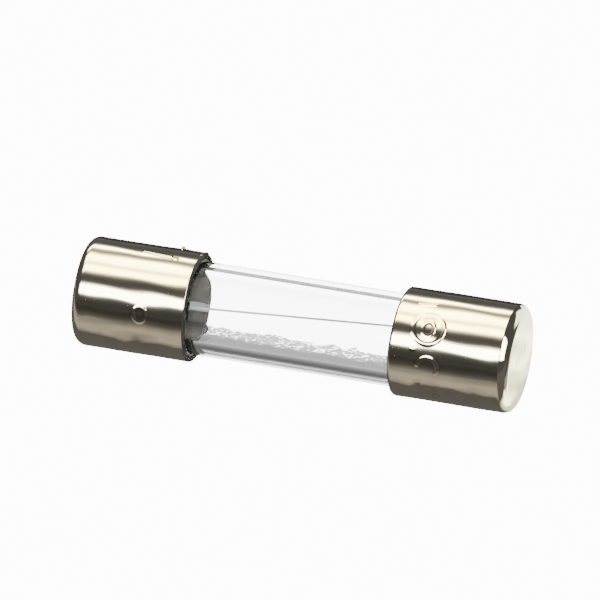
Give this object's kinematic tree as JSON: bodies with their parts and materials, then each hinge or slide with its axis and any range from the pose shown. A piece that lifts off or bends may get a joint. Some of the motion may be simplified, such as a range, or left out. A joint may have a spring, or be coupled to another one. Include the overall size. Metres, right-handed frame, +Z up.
{
  "type": "cartridge fuse",
  "caption": "Small cylindrical glass cartridge fuse: a clear tube closed by metal end caps, with a thin wire slanting through its bore from cap to cap.",
  "frame": {"origin": "centre of the fuse, on its axis", "axes": "+X along the fuse's axis towards its right-hand end cap, +Z up, -Y towards the front"},
  "size_m": [0.0206, 0.005, 0.005],
  "materials": {
    "glass": "clear drawn glass with fire-polished rims",
    "cap_plating": "bright nickel plate over drawn brass",
    "wire": "drawn and tinned",
    "solder": "solder, set smooth",
    "cement": "grey cement, matt"
  },
  "bodies": {
    "root": {"glass_tube": "glass", "end_cap_left": "cap_plating", "end_cap_right": "cap_plating", "fuse_wire": "wire", "solder_left": "solder", "solder_right": "solder", "cement_left": "cement", "cement_right": "cement"}
  },
  "joints": []
}
